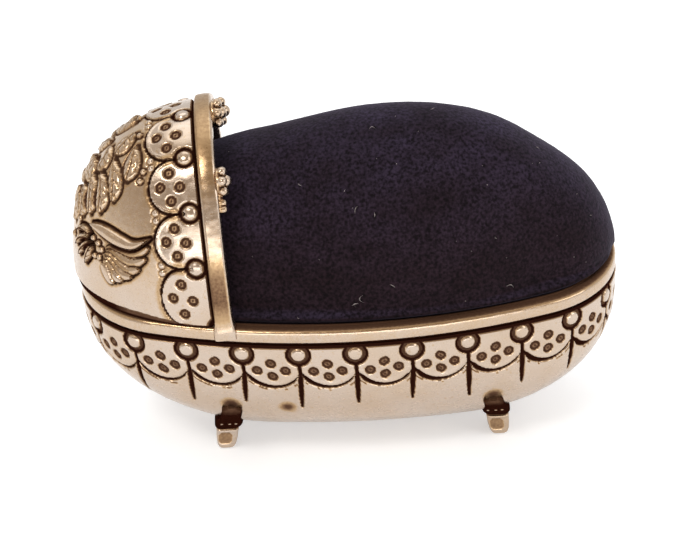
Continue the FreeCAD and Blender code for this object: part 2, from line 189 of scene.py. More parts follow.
def grid_faces(rows, columns, closed, first=0):
    """Quads between the rows of a grid."""
    span = columns if closed else columns - 1
    row, column = np.meshgrid(np.arange(rows - 1), np.arange(span), indexing="ij")
    following = (column + 1) % columns
    corners = [row * columns + column, row * columns + following,
               (row + 1) * columns + following, (row + 1) * columns + column]
    return (np.stack(corners, -1).reshape(-1, 4) + first).tolist()


def tube_faces(rows, columns, first=0):
    """Quads of a grid that runs round a ring, and a face over each end."""
    last = first + (rows - 1) * columns
    ends = [list(range(start, start + columns)) for start in (first, last)]
    return grid_faces(rows, columns, True, first) + ends


def loop_faces(rows, columns, closed):
    """Quads of a grid whose last row joins its first."""
    faces = np.array(grid_faces(rows + 1, columns, closed))
    return (faces % (rows * columns)).tolist()


def add_object(name, data):
    piece = bpy.data.objects.new(name, data)
    scene.collection.objects.link(piece)
    return piece


def evaluated(piece):
    """A piece with its modifiers worked out."""
    return piece.evaluated_get(bpy.context.evaluated_depsgraph_get())


def vertex_vectors(mesh, kind="co"):
    """Places or normals of a mesh's vertices, one to a row."""
    values = np.zeros(len(mesh.vertices) * 3)
    mesh.vertices.foreach_get(kind, values)
    return values.reshape(-1, 3)


def move_vertices(mesh, points):
    mesh.vertices.foreach_set("co", (points * MM).ravel())
    mesh.update()


def new_piece(name, points, faces, material, dark=None, sharp=None):
    """Mesh object from points in millimetres, with how dark it is painted at each point, for oxide
    and for painted shade, and the angle between faces, in degrees, from which an edge is sharp."""
    mesh = bpy.data.meshes.new(name)
    mesh.from_pydata((np.asarray(points).reshape(-1, 3) * MM).tolist(), [], faces)
    if dark is not None:
        layer = mesh.attributes.new("stain_and_shade", "FLOAT", "POINT")
        layer.data.foreach_set("value", np.asarray(dark, np.float32).ravel())
    mesh.materials.append(material)
    outward(mesh)
    mesh.shade_smooth()
    if sharp:
        mesh.set_sharp_from_angle(angle=math.radians(sharp))
    return add_object(name, mesh)


def outward(mesh):
    """Turn every face of a closed mesh to face out."""
    work = bmesh.new()
    work.from_mesh(mesh)
    bmesh.ops.recalc_face_normals(work, faces=work.faces)
    work.to_mesh(mesh)
    work.free()


# ---- relief

class Relief:
    """Height over a smooth surface and how dark it is painted, for oxide in its recesses and for
    painted shade, at every grid point.
    """

    def __init__(self, shape):
        self.raised = np.zeros(shape)
        self.cut = np.zeros(shape)
        self.dark = np.zeros(shape)

    def groove(self, distance, half_width, depth, dark=1.0):
        """Rounded groove about a line."""
        share = dome(distance / half_width)
        self.cut = np.maximum(self.cut, depth * np.sqrt(share))
        self.dark = np.maximum(self.dark, dark * np.clip(share * 1.8, 0, 1))

    def ridge(self, distance, half_width, height):
        """Rounded ridge about a line, clean on top."""
        share = dome(distance / half_width)
        self.raised = np.maximum(self.raised, height * np.sqrt(share))

    def clean(self, distance, radius):
        """Polish away the dark where something stands proud."""
        self.dark = self.dark * np.clip((distance - radius) / 0.08 + 0.5, 0, 1)

    def bead(self, distance, radius, ring, height):
        """Domed bead in a ring groove that is darkest at its outer edge."""
        self.groove(distance - (radius + ring) / 2, (ring - radius) / 2 + 0.06, 0.22, 0.62)
        self.groove(distance - ring + 0.14, 0.16, 0.2, 0.95)
        self.clean(distance, radius)
        self.ridge(distance, radius, height)

    def punched_dot(self, distance, radius, floor):
        """Shallow round punch mark: a dark edge, a stained floor and a pit in the middle."""
        self.groove(distance, radius, 0.08, floor)
        self.groove(distance - radius * 0.78, radius * 0.34, 0.14, 0.7)
        self.groove(distance, radius * 0.33, 0.14, 0.66)

    def smear(self, surface, place, reach, amount):
        """Soft stain about a place, with a reach along each axis."""
        away = np.linalg.norm((surface - place) / reach, axis=-1)
        self.dark = np.maximum(self.dark, amount * np.clip(1.3 - away, 0, 1))

    def laid_on(self, surface, normals):
        """The surface with the relief standing on it, along its outward normals."""
        return surface + normals * (self.raised - self.cut)[..., None]


# ---- materials

def new_material(name, constants):
    """Material with one shader, some of whose sockets are given constants."""
    material = bpy.data.materials.new(name)
    material.use_nodes = True
    tree = material.node_tree
    tree.nodes.clear()
    output = tree.nodes.new("ShaderNodeOutputMaterial")
    shader = tree.nodes.new("ShaderNodeBsdfPrincipled")
    tree.links.new(shader.outputs["BSDF"], output.inputs["Surface"])
    for socket, value in constants.items():
        shader.inputs[socket].default_value = value
    return material, tree, shader


def feed(shader, sources):
    """Link a source into each named input of a shader."""
    for name, source in sources.items():
        shader.id_data.links.new(source, shader.inputs[name])


def noise_node(tree, size, detail=3.0, stretch=(1, 1, 1)):
    """Noise whose blotches are about a size in millimetres across."""
    place = tree.nodes.new("ShaderNodeTexCoord")
    mapping = tree.nodes.new("ShaderNodeMapping")
    mapping.inputs["Scale"].default_value = [1 / (size * MM) / part for part in stretch]
    blotches = tree.nodes.new("ShaderNodeTexNoise")
    blotches.inputs["Scale"].default_value = 1.0
    blotches.inputs["Detail"].default_value = detail
    tree.links.new(place.outputs["Object"], mapping.inputs["Vector"])
    tree.links.new(mapping.outputs["Vector"], blotches.inputs["Vector"])
    return blotches.outputs["Fac"]


def ramp_node(tree, source, stops):
    """Colour ramp with (place, colour) stops."""
    ramp = tree.nodes.new("ShaderNodeValToRGB")
    elements = ramp.color_ramp.elements
    while len(elements) < len(stops):
        elements.new(0.5)
    for element, (place, colour) in zip(elements, stops):
        element.position = place
        if isinstance(colour, (int, float)):
            colour = (colour, colour, colour)
        element.color = (*colour, 1)
    tree.links.new(source, ramp.inputs["Fac"])
    return ramp.outputs["Color"]


def mix_node(tree, kind, factor, one, other):
    """Mix of two colours; each input is a socket or a constant."""
    mix = tree.nodes.new("ShaderNodeMix")
    mix.data_type = "RGBA"
    mix.blend_type = kind
    for socket, value in ((mix.inputs[0], factor), (mix.inputs[6], one), (mix.inputs[7], other)):
        if isinstance(value, bpy.types.NodeSocket):
            tree.links.new(value, socket)
        elif isinstance(value, (int, float)):
            socket.default_value = value
        else:
            socket.default_value = (*value, 1)
    return mix.outputs[2]


def bump_node(tree, source, strength, distance, before=None):
    bump = tree.nodes.new("ShaderNodeBump")
    bump.inputs["Strength"].default_value = strength
    bump.inputs["Distance"].default_value = distance * MM
    tree.links.new(source, bump.inputs["Height"])
    if before is not None:
        tree.links.new(before, bump.inputs["Normal"])
    return bump.outputs["Normal"]


# The tarnish, brown and oxide colours paint both real oxide and painted shade: the darkness they
# follow also holds painted shadows and reflections.
SILVER = (0.53, 0.432, 0.355)
TARNISH_AND_SHADE = (0.46, 0.31, 0.17)
BROWN = (0.17, 0.092, 0.056)
OXIDE_AND_SHADE = (0.034, 0.01, 0.006)
STAIN_ROUGHNESS = (0.8, 0.8, 0.8)


def silver_material(name, tarnish=0.5, roughness=(0.16, 0.32), dented=0.5):
    """Old polished silver: warm blotches, fine scratches, dark oxide left in the recesses and painted
    shade laid on in the same browns.
    """
    material, tree, shader = new_material(name, {"Metallic": 1.0})
    # Darkness per vertex: oxide in the chasing, plus painted shade and reflection round raised work,
    # on the rim's top and on the feet.
    stain_and_shade = tree.nodes.new("ShaderNodeAttribute")
    stain_and_shade.attribute_name = "stain_and_shade"
    ragged = mix_node(tree, "LINEAR_LIGHT", 0.1, stain_and_shade.outputs["Fac"],
                      noise_node(tree, 0.25, 3.0))
    brown_stain_and_shade = ramp_node(tree, ragged, [(0.22, 0.0), (0.5, 1.0)])
    layers = [
        (ramp_node(tree, noise_node(tree, 5.0, 4.0), [(0.42, 0.0), (0.68, tarnish)]), TARNISH_AND_SHADE),
        (ramp_node(tree, noise_node(tree, 0.35, 2.0), [(0.27, 0.55), (0.36, 0.0)]), TARNISH_AND_SHADE),
        (ramp_node(tree, ragged, [(0.05, 0.0), (0.25, 1.0)]), TARNISH_AND_SHADE),
        (brown_stain_and_shade, BROWN),
        (ramp_node(tree, ragged, [(0.48, 0.0), (0.85, 1.0)]), OXIDE_AND_SHADE)]
    colour = SILVER
    for cover, tone in layers:
        colour = mix_node(tree, "MIX", cover, colour, tone)
    scratches = noise_node(tree, 0.4, 4.0, (2.2, 1, 0.8))
    worn = ramp_node(tree, scratches, [(0.3, roughness[0]), (0.7, roughness[1])])
    dents = bump_node(tree, noise_node(tree, 2.6, 2.0), dented, 0.16)
    feed(shader, {"Base Color": colour,
                  "Specular Tint": ramp_node(tree, ragged, [(0.25, 1.0), (0.7, 0.04)]),
                  "Roughness": mix_node(tree, "MIX", brown_stain_and_shade, worn, STAIN_ROUGHNESS),
                  "Normal": bump_node(tree, scratches, 0.12, 0.02, dents)})
    return material


def velvet_material():
    """Midnight-blue cotton velvet with a brushed pile, painted lighter and bluer where it faces up and
    darker and warmer where it faces sideways.
    """
    material, tree, shader = new_material("midnight_velvet", {
        "Roughness": 0.95, "Specular IOR Level": 0.12, "Sheen Weight": 0.13,
        "Sheen Roughness": 0.45, "Sheen Tint": (0.6, 0.55, 0.8, 1)})
    pile = noise_node(tree, 0.3, 4.0)
    brushed = noise_node(tree, 3.5, 3.0, (1.6, 1, 1))
    tone = ramp_node(tree, pile,
                     [(0.34, (0.0028, 0.0014, 0.0022)), (0.66, (0.021, 0.0145, 0.021))])
    cast = ramp_node(tree, brushed,
                     [(0.35, (0.72, 0.62, 0.64)), (0.65, (1.15, 1.15, 1.3))])
    colour = mix_node(tree, "MULTIPLY", 1.0, tone, cast)
    # Painted light: the velvet is lighter and bluer where it faces up, darker and warmer on its sides
    # and underside.
    surface = tree.nodes.new("ShaderNodeNewGeometry")
    facing = tree.nodes.new("ShaderNodeSeparateXYZ")
    tree.links.new(surface.outputs["Normal"], facing.inputs["Vector"])
    crown = ramp_node(tree, facing.outputs["Z"],
                      [(0.25, (0.85, 0.66, 0.62)), (0.95, (1.35, 1.45, 1.75))])
    colour = mix_node(tree, "MULTIPLY", 1.0, colour, crown)
    feed(shader, {"Base Color": colour, "Normal": bump_node(tree, pile, 0.5, 0.12)})
    return material


def fibre_material(name, dark, light, size, roughness=0.9, stretch=(1, 1, 1)):
    """Wool, card, thread, lint or glue: a two-tone fibrous surface."""
    material, tree, shader = new_material(name, {"Roughness": roughness})
    fibres = noise_node(tree, size, 5.0, stretch)
    tone = ramp_node(tree, fibres, [(0.35, dark), (0.65, light)])
    feed(shader, {"Base Color": tone, "Normal": bump_node(tree, fibres, 0.6, size * 0.4)})
    return material


chased = silver_material("chased_silver", tarnish=0.3)
plain = silver_material("plain_silver", tarnish=0.35, dented=0.9)
cast = silver_material("cast_silver", tarnish=0.6)
velvet = velvet_material()
wool = fibre_material("packed_wool", (0.45, 0.40, 0.32), (0.80, 0.76, 0.68), 0.6)
card = fibre_material("grey_card", (0.20, 0.17, 0.13), (0.34, 0.30, 0.24), 0.3, 0.85, (3, 1, 1))
thread = fibre_material("black_thread", (0.010, 0.010, 0.014), (0.035, 0.035, 0.045), 0.12)
lint = fibre_material("pale_lint", (0.26, 0.22, 0.22), (0.56, 0.51, 0.50), 0.2)
glue = fibre_material("dried_glue", (0.30, 0.20, 0.08), (0.46, 0.33, 0.16), 0.8, 0.35)


# ---- chased sheet

def double_wall(name, outer, inner, share, closed, dark, inner_dark):
    """Sheet of an outer grid and a coarser inner one, joined along their first rows.

    Each inner column faces a share of outer ones. Closed grids also have a bottom."""
    columns, inner_columns = outer.shape[1], inner.shape[1]
    first, total = outer.size // 3, (outer.size + inner.size) // 3
    faces = grid_faces(len(outer), columns, closed)
    faces += grid_faces(len(inner), inner_columns, closed, first)
    for column in range(inner_columns if closed else inner_columns - 1):
        edge = [(column * share + step) % columns for step in range(share + 1)]
        faces.append([first + column] + edge + [first + (column + 1) % inner_columns])
    if closed:
        faces.append(list(range(first - columns, first)))
        faces.append(list(range(total - inner_columns, total)))
    points = np.concatenate([outer.reshape(-1, 3), inner.reshape(-1, 3)])
    dark = np.concatenate([dark.ravel(), np.full(total - first, inner_dark)])
    return new_piece(name, points, faces, chased, dark, sharp=50)


# ---- tub

TUB_COLUMNS = 1104
INNER_SHARE = 4          # outer columns to one inner column
ORNAMENT_DEPTH = 8.0     # how far the chasing reaches down the tub's side
FINE_STEP = 0.115        # between rows that carry chasing
FAR = 9.0                # a distance that no mark reaches
CUSP = 2.9               # how far down the scallops' points are
SAG = 1.85               # and how much further down the middles
SPEAR = 4.3              # mean length of the strokes under the points
LEAN_START = 3.0         # how far down the strokes start to lean with the tub's ends
UPRIGHTNESS = 0.75       # 1 keeps them upright, 0 lets them follow the tub's side
TUB_DOTS = ((-1.4, 2.83), (1.32, 2.78), (0.0, 1.98), (-0.02, 3.46))     # aside and down
SMEAR = (-6.35, -11.2, 7.2)     # the stain that was left by soldering


def tub_ring(level, turn, wall=0.0):
    """Ring of the tub at a share of its depth; the open end is the fuller one."""
    front = (HALF_LENGTH - wall) * fullness(level, OPEN_END_CURVE)
    back = (HALF_LENGTH - wall) * fullness(level, HOOD_END_CURVE)
    short = (HALF_WIDTH - wall) * fullness(level, WIDTH_CURVE)
    end = (TUB_END_SHARE + TUB_END_GROWTH * level ** 2) * short
    return level_ring(0, front, back, short, end, TUB_TOP - level * (TUB_DEPTH - wall), turn)


def tub_levels():
    """Shares of the tub's depth for the mesh rows, and their distance down the side."""
    fine = 1 - (1 - np.linspace(0, 1, 2000)) ** 2
    side_y = HALF_WIDTH * fullness(fine, WIDTH_CURVE)
    side_z = TUB_DEPTH * fine
    steps = np.hypot(np.diff(side_y), np.diff(side_z))
    down = np.concatenate([[0], np.cumsum(steps)])
    dense = np.arange(0, ORNAMENT_DEPTH, FINE_STEP)
    last = np.interp(0.995, fine, down)
    rest = ORNAMENT_DEPTH + (last - ORNAMENT_DEPTH) * np.linspace(0, 1, 12) ** 1.1
    distances = np.concatenate([dense, rest])
    return np.interp(distances, down, fine), distances


def chase_tub(turn, levels, down):
    """Scallops, beads, spear strokes and punched dots round the tub's top."""
    turn, depth = turn[None, :], down[:, None]
    pitch = 4 * (oval_arcs(HALF_LENGTH, HALF_WIDTH, END_ARC)[2] / SCALLOPS)
    relief = Relief((len(down), turn.size))
    place = turn * SCALLOPS
    nearest = np.round(place)
    aside = (place - nearest) * pitch
    hand = np.sin(nearest * 2.4)          # small differences of a hand-worked line
    upright = aside - stroke_lean(turn, levels, down)
    # Dark groove along the lip: oxide, and painted shade of the gap under the rim.
    relief.groove(depth, 0.32, 0.25)
    radius = (pitch ** 2 / 4 + SAG ** 2) / (2 * SAG)
    arc = np.hypot(np.abs(aside) - pitch / 2, depth - (CUSP + SAG - radius)) - radius
    below = np.where(depth > CUSP - 0.1, 0, FAR)
    onward = np.clip(place - np.floor(place), 0, 1)
    stroke = (0.2 + 0.1 * np.cos(np.pi * np.clip(onward * 1.25 - 0.2, 0, 1)) + 0.02 * hand)
    stroke = stroke * np.clip((np.abs(upright) - 0.1) / 0.5, 0.45, 1)
    relief.groove(np.abs(arc) + below, stroke, 0.24, 0.95)
    relief.ridge(np.abs(arc + 0.42) + below, 0.18, 0.06)
    slipped = np.sin(place * 9.0) * hand + np.sin(place * 31.0) * 0.4
    relief.groove(np.abs(arc - 0.42) + np.where(slipped > 0.25, below, FAR), 0.12, 0.04, 0.46)
    stem = np.abs(upright) + np.where((depth > 2.0) & (depth < CUSP + 0.1), 0, FAR)
    relief.groove(stem, 0.21, 0.2, 0.85)
    reach = SPEAR + 0.45 * np.cos(2.2 * nearest)
    share = np.clip((depth - CUSP - 0.1) / reach, 0, 1)
    spear = 0.09 + 0.2 * np.clip(share * 6, 0, 1) * np.clip((1 - share) * 2.2, 0, 1) ** 0.6
    inside = (depth > CUSP + 0.1) & (share < 1)
    relief.groove(np.where(inside, np.abs(upright + 0.12 * hand * share), FAR), spear, 0.2, 0.95)
    for across, drop in TUB_DOTS:
        shifted = aside - np.where(aside > 0, pitch / 2, -pitch / 2) - across
        relief.punched_dot(np.hypot(shifted, depth - drop + 0.06 * hand), 0.5, 0.42)
    relief.bead(np.hypot(aside, depth - 1.0), 0.66, 1.24, 0.1)
    return relief


def stroke_lean(turn, levels, down):
    """How far aside a stroke runs, so that it stays nearly upright where the tub draws in."""
    x, y = oval(HALF_LENGTH, HALF_WIDTH, END_ARC, turn)
    step_x, step_y = np.roll(x, -1) - np.roll(x, 1), np.roll(y, -1) - np.roll(y, 1)
    open_end, hood_end = (fullness(levels, power) for power in (OPEN_END_CURVE, HOOD_END_CURVE))
    spread = (open_end + hood_end) / 2
    drift = HALF_LENGTH * (open_end - hood_end) / 2
    drift = np.clip(drift - np.interp(LEAN_START, down, drift), 0, None)[:, None]
    narrowing = np.clip(np.interp(LEAN_START, down, spread) / spread - 1, 0, 0.2)[:, None]
    return (UPRIGHTNESS * narrowing * x - drift) * (step_x / np.hypot(step_x, step_y))


def make_tub():
    turn = np.arange(TUB_COLUMNS) / TUB_COLUMNS
    levels, down = tub_levels()
    surface = np.array([tub_ring(level, turn) for level in levels])
    relief = chase_tub(turn, levels, down)
    for end, (low, high) in FOOT_X.items():
        for hand in (1, -1):
            middle = (low.x + high.x) / 2 - math.copysign(0.6, low.x)
            solder = (middle, hand * (FOOT_SPREAD + 3.9), STRAPS[end][1] + 0.3)
            relief.smear(surface, solder, (1.0, 2.0, 0.9), 0.62)
    relief.smear(surface, SMEAR, (0.9, 2.5, 0.8), 0.58)
    normals = grid_normals(surface, True)
    surface = relief.laid_on(surface, np.sign(normals[0, 0, 0]) * normals)
    surface[0, :, 2] = TUB_TOP
    inner = np.array([tub_ring(level, turn[::INNER_SHARE], TUB_WALL)
                      for level in np.linspace(0, 0.995, 14)])
    return double_wall("chased_tub", surface, inner, INNER_SHARE, True, relief.dark, 0.5)


# ---- frame: rim and arch

RIM_COLUMNS = 480

# Section of the rim, inwards from its outer edge and upwards from its underside.
RIM_SECTION = [
    (0.4, -0.35), (0.4, -0.02), (0.16, 0.0), (0.04, 0.05), (0.0, 0.18), (0.0, 0.5), (0.0, 0.85),
    (0.05, 1.08), (0.16, 1.22), (0.32, 1.29), (0.6, 1.3), (0.92, 1.3), (1.0, 1.28), (1.06, 1.22),
    (1.14, 1.21), (1.2, 1.25), (1.28, 1.28), (1.42, 1.28), (1.53, 1.22), (1.59, 1.1), (1.6, 0.8),
    (1.6, -2.0), (2.6, -2.0), (2.6, -2.6), (1.05, -2.6), (1.05, -0.35)]

# How dark the rim is painted at each of those points: tarnish and oxide, painted shade in the gap
# under the rim, and across the top a darkening towards the pad that is partly tarnish and partly a
# painted shadow and reflection of the velvet.
RIM_STAIN_AND_SHADE = [
    1.0, 1.0, 0.3, 0.0, 0.11, 0.11, 0.11, 0.11, 0.26, 0.47, 0.54, 0.56, 0.58, 0.62, 0.62, 0.58,
    0.58, 0.6, 0.66, 0.8, 1.0, 1.0, 1.0, 1.0, 1.0, 1.0]

# Section of the arch band, inwards from its outer face and backwards from its front.
ARCH_SECTION = [
    (0.3, 0.0), (0.14, 0.05), (0.04, 0.15), (0.0, 0.32), (-0.03, 0.6), (-0.04, 0.85), (-0.03, 1.1),
    (0.0, 1.4), (0.04, 1.56), (0.14, 1.65), (0.3, 1.7), (1.1, 1.7), (1.22, 1.66), (1.29, 1.55),
    (1.3, 1.3), (1.3, 0.4), (1.29, 0.16), (1.22, 0.04), (1.1, 0.0), (0.7, 0.0)]

ARCH_ROOT = 0.85         # how far the arch runs down into the rim
FLARE_HEIGHT = 1.7       # up to here it widens downwards
FLARE_OUT = 0.3
FLARE_WIDTH = 0.5

# How stained the arch is at heights over the rim.
ARCH_STAIN = ((0, 1, 3, 5.5, 8, 11, 13.5, 17), (0.06, 0.24, 0.47, 0.4, 0.12, 0.05, 0.2, 0.3))


def make_rim():
    turn = np.arange(RIM_COLUMNS) / RIM_COLUMNS
    points = np.array([rim_ring(inset, RIM_BOTTOM + up, turn) for inset, up in RIM_SECTION])
    dark = np.repeat(RIM_STAIN_AND_SHADE, RIM_COLUMNS)
    return points, dark, loop_faces(len(RIM_SECTION), RIM_COLUMNS, True)


def make_arch():
    """Band of the arch, flared where it grows out of the rim."""
    columns = 220
    across = np.linspace(0, 1, columns)
    points = []
    for inset, back in ARCH_SECTION:
        up, out = arching(ARCH_HEIGHT - inset, ARCH_HALF_WIDTH - inset, ARCH_CROWN - inset,
                          across, ARCH_ROOT, np.linspace(0, 0.3, 600))
        foot = np.clip(1 - (up + 0.1) / FLARE_HEIGHT, 0, 1) ** 2
        outside = 1 - np.clip(inset / 0.6, 0, 1)
        out = out + np.sign(out) * FLARE_OUT * foot * outside
        back = back + (back / ARCH_WIDTH - 0.5) * FLARE_WIDTH * foot
        points.append(leaning(back, out, up))
    points = np.array(points)
    faces = loop_faces(len(points), columns, False)
    for end in (0, columns - 1):
        faces.append([row * columns + end for row in range(len(points))])
    stain = np.interp(points[..., 2] - RIM_TOP, *ARCH_STAIN)
    worn = np.array([back < 0.25 for inset, back in ARCH_SECTION])
    return points, np.where(worn[:, None], 0.3 * stain, stain), faces


def make_frame():
    rim, rim_dark, rim_faces = make_rim()
    arch, arch_dark, arch_faces = make_arch()
    shift = rim.size // 3
    faces = rim_faces + [[corner + shift for corner in face] for face in arch_faces]
    points = np.concatenate([rim.reshape(-1, 3), arch.reshape(-1, 3)])
    dark = np.concatenate([rim_dark, arch_dark.ravel()])
    return new_piece("rim_and_arch", points, faces, plain, dark, sharp=60)


# ---- hood

HOOD_COLUMNS = 421
HOOD_ROWS = 176
HOOD_INNER_SHARE = 6     # outer columns to one inner column


def hood_ring(back, across, wall=0.0):
    """Upright section of the hood above the rim, from left to right."""
    share = back / (HOOD_LENGTH - wall)
    high = (HOOD_HEIGHT - wall) * fullness(share, HOOD_HEIGHT_CURVE)
    wide = (HOOD_HALF_WIDTH - wall) * fullness(share, HOOD_PLAN_CURVE)
    up, out = arching(high, wide, wide * HOOD_CROWN / HOOD_HALF_WIDTH, across,
                      -back * math.tan(LEAN), np.linspace(0, 0.25, 400))
    return leaning(back, out, up)


def make_hood():
    across = np.linspace(0, 1, HOOD_COLUMNS)
    last = HOOD_LENGTH * 0.9995
    rows = 1 - (1 - np.linspace(0, 1, HOOD_ROWS)) ** 2.2
    backs = ARCH_WIDTH + (last - ARCH_WIDTH) * rows
    surface = np.array([hood_ring(back, across) for back in backs])
    relief = chase_hood(surface, across)
    normals = grid_normals(surface, False)
    surface = relief.laid_on(surface, np.sign(normals[0, HOOD_COLUMNS // 2, 2]) * normals)
    surface[:, (0, -1), 2] = RIM_TOP
    inner = np.array([hood_ring(back, across[::HOOD_INNER_SHARE], HOOD_WALL)
                      for back in ARCH_WIDTH + (last - HOOD_WALL - ARCH_WIDTH) * rows[::8]])
    return double_wall("chased_hood", surface, inner, HOOD_INNER_SHARE, False, relief.dark, 0.8)


BEAD_SPACING = 0.1172
BEADS = [0.512 + step * BEAD_SPACING for step in range(-3, 4)]


def chase_hood(surface, across):
    """Lobes with punched dots along the arch and a spray of leaves on each side."""
    relief = Relief(surface.shape[:2])
    steps = np.linalg.norm(np.diff(surface, axis=0), axis=-1)
    back = np.vstack([np.zeros(len(across)), np.cumsum(steps, axis=0)])
    lengths = np.linalg.norm(np.diff(surface, axis=1), axis=-1).sum(1)
    normals = grid_normals(surface, False)
    for mirrored in (False, True):
        spray(relief, Chart(surface, normals, back, mirrored))
    lobes(relief, back, across[None, :], lengths[:, None])
    base = np.minimum(across, 1 - across)[None, :] * lengths[:, None]
    rear = np.clip((back - 1.5) / 6.0, 0, 1)
    relief.groove(base - 0.04, 0.2, 0.25)
    # Painted shade: the dark line along the hood's foot widens and deepens towards the back, where the
    # hood meets the rim.
    relief.groove(base - 0.2, 0.16 + 0.5 * rear, 0.25, 0.52 + 0.48 * np.clip((back - 9) / 2.5, 0, 1))
    relief.groove(np.hypot(base * 0.7, back), 0.85, 0.5)
    # Painted reflection: the plain side of the hood behind the lobes is darkened a little towards tan,
    # for the darker room it mirrors.
    tan = np.clip((base - 2.5) / 2.5, 0, 1) * np.clip((back - 4.6) / 0.5, 0, 1)
    relief.dark = np.maximum(relief.dark, 0.13 * tan)
    return relief


class Chart:
    """Places on the hood as a distance behind the arch and a share of the way across."""

    def __init__(self, surface, normals, back, mirrored):
        self.surface, self.normals, self.back = surface, normals, back
        self.mirrored = mirrored

    def spot(self, back, across):
        across = 1 - across if self.mirrored else across
        column = round(across * (self.surface.shape[1] - 1))
        row = np.argmin(np.abs(self.back[:, column] - back))
        return self.surface[row, column]

    def line(self, places, parts=10):
        """Smooth line of points through places, each a distance back and a share across."""
        knots = np.array([self.spot(*place) for place in places])
        ahead = np.concatenate([[2 * knots[0] - knots[1]], knots, [2 * knots[-1] - knots[-2]]])
        points = []
        for one, two, three, four in zip(ahead, ahead[1:], ahead[2:], ahead[3:]):
            for step in range(parts):
                x = step / parts
                points.append(0.5 * (2 * two + (three - one) * x
                                     + (2 * one - 5 * two + 4 * three - four) * x ** 2
                                     + (3 * two - one - 3 * three + four) * x ** 3))
        return np.array(points + [knots[-1]])

    def along(self, line, reach):
        """Grid points near a line: where they are, their share along it and distance aside."""
        low, high = line.min(0) - reach, line.max(0) + reach
        near = np.all((self.surface > low) & (self.surface < high), axis=-1)
        points, normals = self.surface[near], self.normals[near]
        lengths = np.linalg.norm(np.diff(line, axis=0), axis=1)
        before = np.concatenate([[0], np.cumsum(lengths)])
        nearest = np.full(len(points), 1e9)
        share, aside = np.zeros(len(points)), np.zeros(len(points))
        for start, step, length, done in zip(line, np.diff(line, axis=0), lengths, before):
            run = np.clip((points - start) @ step / length ** 2, 0, 1)
            gap = points - start - run[:, None] * step
            distance = np.linalg.norm(gap, axis=1)
            closer = distance < nearest
            nearest = np.where(closer, distance, nearest)
            share = np.where(closer, (done + run * length) / before[-1], share)
            hand = np.sign(np.einsum("ij,ij->i", np.cross(step, gap), normals))
            aside = np.where(closer, distance * hand, aside)
        return near, share, aside


def leaf(relief, chart, places, width, height, veins=0, edge=0.13, taper=0.8, shade=0.85):
    """Raised leaf along a line, with a dark outline, a soft painted shadow round it and, where it has
    veins, a midrib.
    """
    near, share, aside = chart.along(chart.line(places), width + 0.8)
    half = width * np.clip(np.sin(np.pi * np.clip(share, 0.001, 0.999) ** 0.75), 0, 1) ** taper
    half = np.maximum(half, 0.05)
    across = np.abs(aside) / half
    body = dome(across)
    cover = np.clip((half - np.abs(aside)) / 0.1 + 0.3, 0, 1)
    raised, cut, dark = relief.raised[near], relief.cut[near], relief.dark[near]
    cut, dark = cut * (1 - cover), dark * (1 - cover)
    raised = np.where(body > 0, height * np.sqrt(body), raised * (1 - cover))
    ring = np.abs(np.abs(aside) - half - edge)
    rim = dome(ring / (edge * 1.25))
    cut, dark = np.maximum(cut, 0.2 * rim), np.maximum(dark, np.clip(1.4 * rim, 0, shade))
    # Painted shadow: a soft brown halo darkens the sheet just outside the leaf.
    painted_shadow_halo = dome(ring / 0.5) * (1 - cover)
    dark = np.maximum(dark, 0.36 * painted_shadow_halo)
    if veins:
        slant = np.abs(np.sin(np.pi * (veins * share + 0.9 * across)))
        vein = np.clip(1 - slant / 0.35, 0, 1) * (body > 0.08)
        midrib = dome(aside / 0.1) * (body > 0.1)
        mark = np.maximum(vein, midrib)
        cut, dark = np.maximum(cut, 0.12 * mark), np.maximum(dark, 0.9 * shade * mark)
    relief.raised[near], relief.cut[near], relief.dark[near] = raised, cut, dark


def boss(relief, chart, place, radius, height):
    """Small round bead standing on the hood in a dark ring."""
    distance = np.linalg.norm(chart.surface - chart.spot(*place), axis=-1)
    relief.groove(distance, radius + 0.2, 0.12, 0.9)
    relief.clean(distance, radius)
    relief.cut = np.where(distance < radius, 0, relief.cut)
    relief.ridge(distance, radius, height)


# Leaves of one side's spray: places along each as (distance behind the arch, share across).
PETALS = [
    [(12.5, 0.735), (14, 0.69), (15.3, 0.668)], [(12.7, 0.745), (14.4, 0.72), (15.9, 0.716)],
    [(12.7, 0.76), (14.2, 0.765), (15.2, 0.778)], [(12.4, 0.775), (13.3, 0.8), (13.9, 0.83)]]
PLUMES = [
    [(13.7, 0.65), (13.4, 0.6), (12.9, 0.545)], [(12.2, 0.672), (11.8, 0.62), (11.3, 0.555)],
    [(10.7, 0.69), (10.2, 0.64), (9.9, 0.58)]]
UPPER_LEAVES = [
    [(8.9, 0.682), (8.5, 0.63), (8.3, 0.572)], [(7.1, 0.648), (6.3, 0.614), (5.7, 0.57)],
    [(8.1, 0.56), (7, 0.545), (5.7, 0.527)], [(10.6, 0.565), (9.6, 0.545), (8.6, 0.515)],
    [(13.2, 0.535), (12, 0.525), (10.8, 0.505)], [(16.2, 0.6), (15.4, 0.56), (14.4, 0.52)]]
FAN = [
    [(10.2, 0.797), (8.5, 0.82), (6.9, 0.826), (5.6, 0.812)],
    [(10.3, 0.806), (8.8, 0.836), (7.3, 0.848), (6, 0.838)],
    [(10.4, 0.815), (9.2, 0.85), (8, 0.866), (6.8, 0.862)],
    [(10.6, 0.824), (9.7, 0.86), (8.8, 0.878), (7.8, 0.88)],
    [(10.8, 0.833), (10.2, 0.866), (9.6, 0.886), (8.9, 0.892)],
    [(11.1, 0.842), (10.8, 0.872), (10.4, 0.892), (10, 0.902)]]
CRESCENT = [(12, 0.705), (10.2, 0.752), (8.6, 0.785), (7, 0.803), (5.3, 0.792)]
